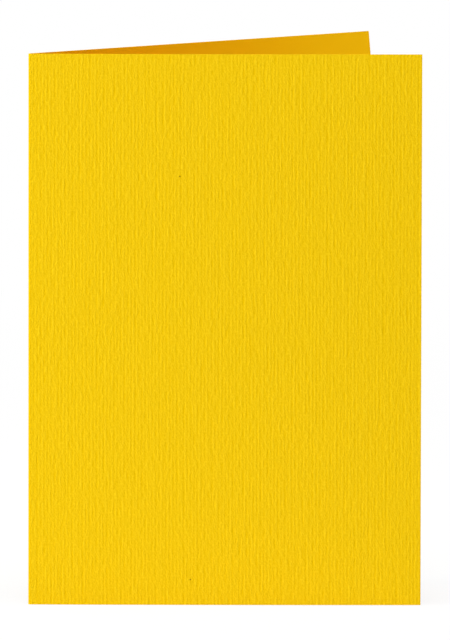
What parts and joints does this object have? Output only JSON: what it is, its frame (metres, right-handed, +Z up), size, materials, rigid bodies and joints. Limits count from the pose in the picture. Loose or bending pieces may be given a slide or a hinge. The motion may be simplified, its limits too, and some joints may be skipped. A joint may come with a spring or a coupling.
{
  "type": "folded card",
  "caption": "Upright blank card: an oblong sheet of ribbed yellow stock, scored and folded along its left side, standing part open on its lower edges.",
  "frame": {"origin": "middle of the box round the open card, on the level its lower edges stand on", "axes": "+Z up along the fold, -Y out of the front cover's face, -X towards the fold, +Y the side the back cover swings to"},
  "size_m": [0.105, 0.0532, 0.1485],
  "materials": {
    "yellow_card": "matte"
  },
  "bodies": {
    "root": {"folded_card": "yellow_card"}
  },
  "joints": []
}
